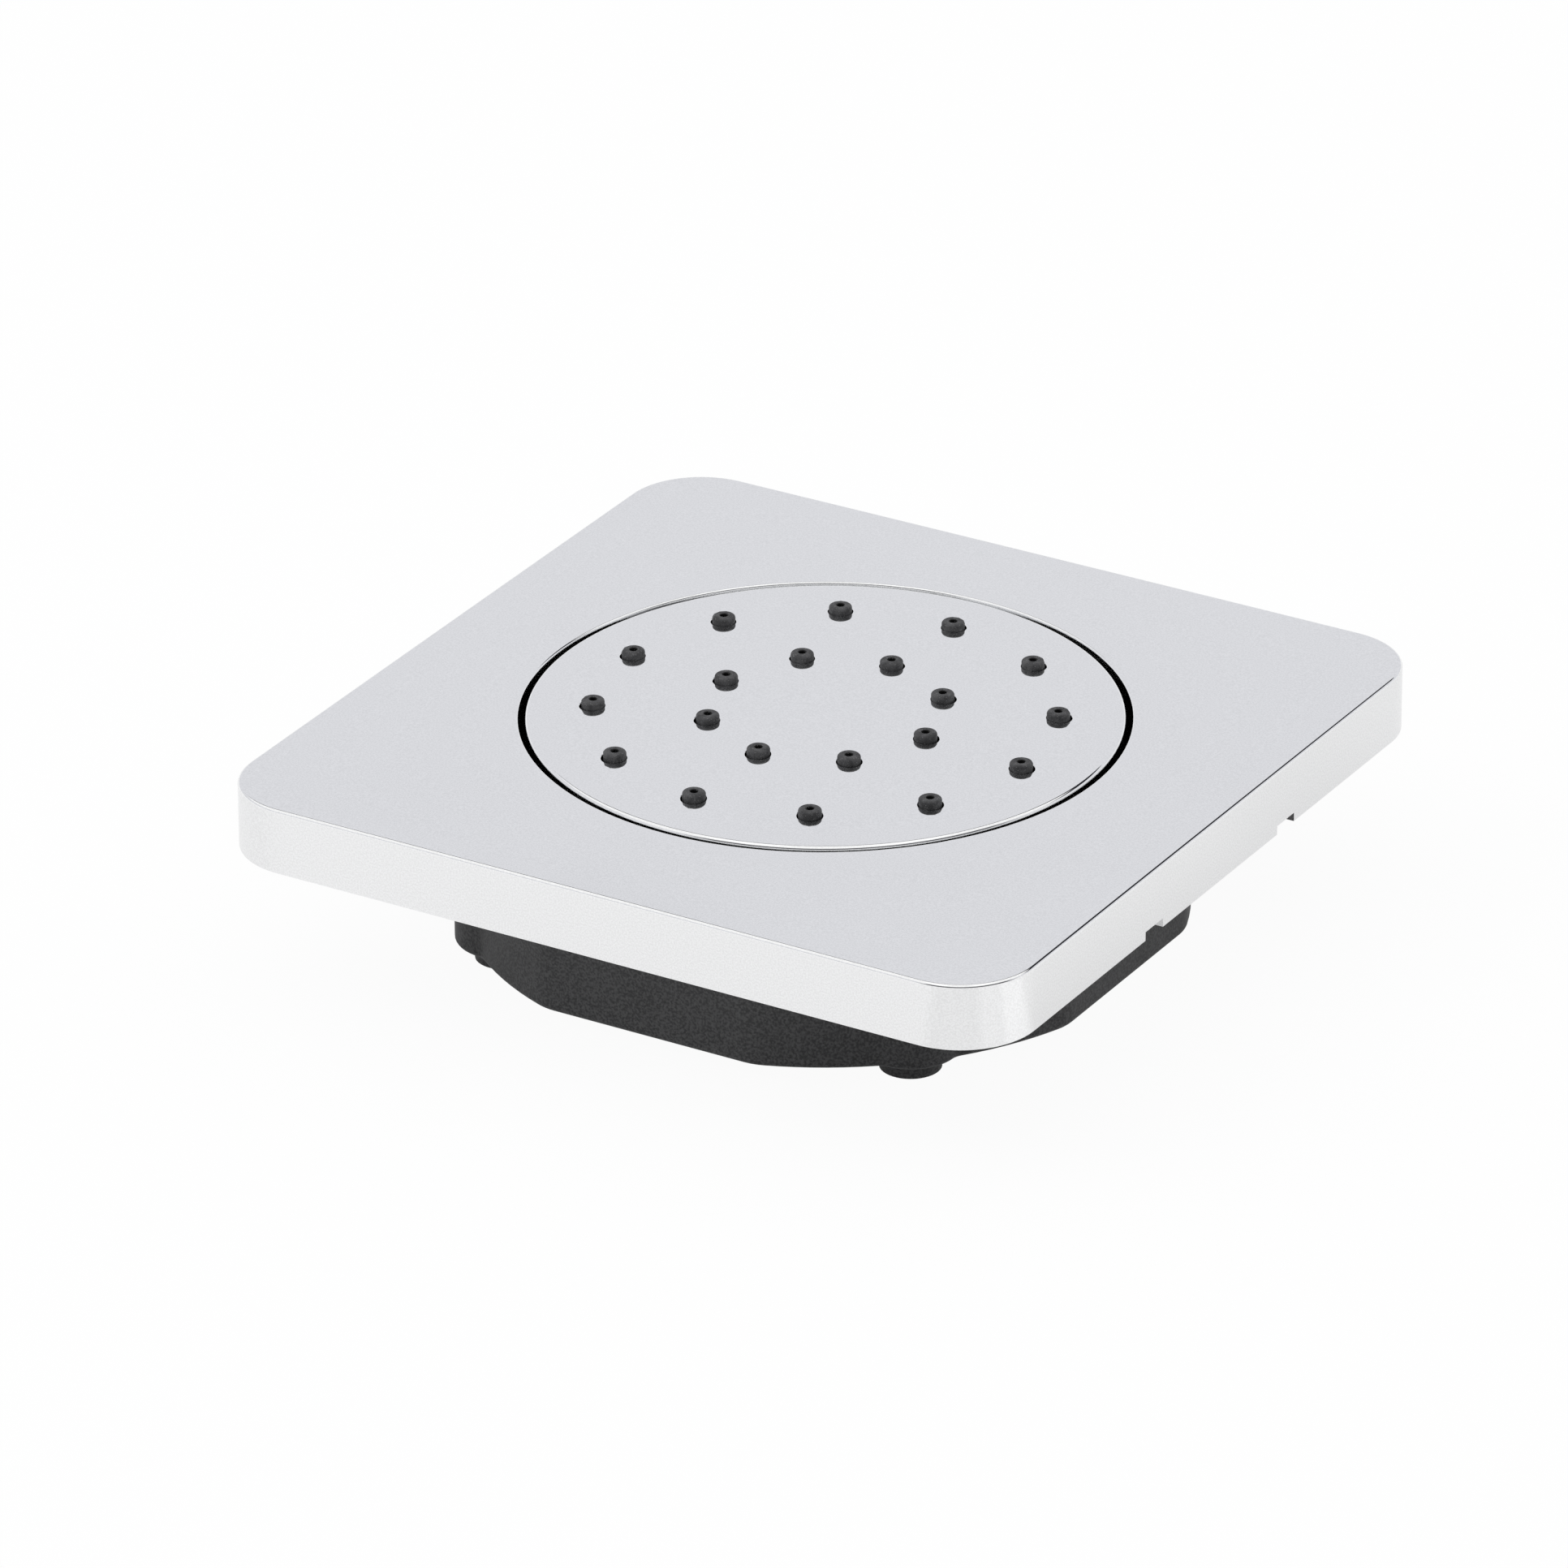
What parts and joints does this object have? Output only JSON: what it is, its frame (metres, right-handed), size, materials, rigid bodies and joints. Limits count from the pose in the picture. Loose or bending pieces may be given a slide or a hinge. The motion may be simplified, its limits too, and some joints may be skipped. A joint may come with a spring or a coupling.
{
  "type": "shower body jet",
  "caption": "Square chrome shower body jet with a swivelling round spray disc and soft nozzles, on a black housing with screw feet and a rear pipe inlet.",
  "frame": {"origin": "middle of the wall plane that the ends of the four feet touch, on the spray axis", "axes": "+Z along the spray axis, out of the wall; +X towards the side with the two lever notches"},
  "size_m": [0.12, 0.12, 0.0322],
  "materials": {
    "chrome": "polished chrome plate",
    "black_plastic": "fine spark-eroded black moulding",
    "silicone": "soft black silicone",
    "dark_plastic": "dark grey moulding",
    "pale_plastic": "natural white moulding",
    "rubber": "black seal rubber",
    "brass": "turned brass",
    "steel": "stainless steel"
  },
  "bodies": {
    "base": {"cover_plate": "chrome", "housing": "black_plastic", "housing_flange": "black_plastic", "ball_inlet": "brass", "inlet_gasket": "rubber", "lock_washer": "steel", "inlet_nut": "brass", "inlet_washer": "rubber", "inlet_strainer": "steel", "flow_limiter": "pale_plastic", "limiter_ring": "rubber"},
    "seat_ring": {"ball_seat": "pale_plastic"},
    "seal_ring": {"ball_seal": "rubber"},
    "spray_head": {"spray_face": "chrome", "nozzle_mat": "silicone", "jet_plate": "pale_plastic", "chamber_cover": "dark_plastic", "cover_screws": "steel", "ball_collar": "dark_plastic"}
  },
  "joints": [
    {"name": "tilt_side", "type": "hinge", "parent": "base", "child": "seat_ring", "pos_m": [0, 0, 0.01904], "axis": [1, 0, 0], "range_deg": [-6, 6]},
    {"name": "tilt_up", "type": "hinge", "parent": "seat_ring", "child": "seal_ring", "pos_m": [0, 0, 0.01904], "axis": [0, 1, 0], "range_deg": [-6, 6]},
    {"name": "disc_spin", "type": "hinge", "parent": "seal_ring", "child": "spray_head", "pos_m": [0, 0, 0.01904], "axis": [0, 0, 1], "continuous": true}
  ]
}
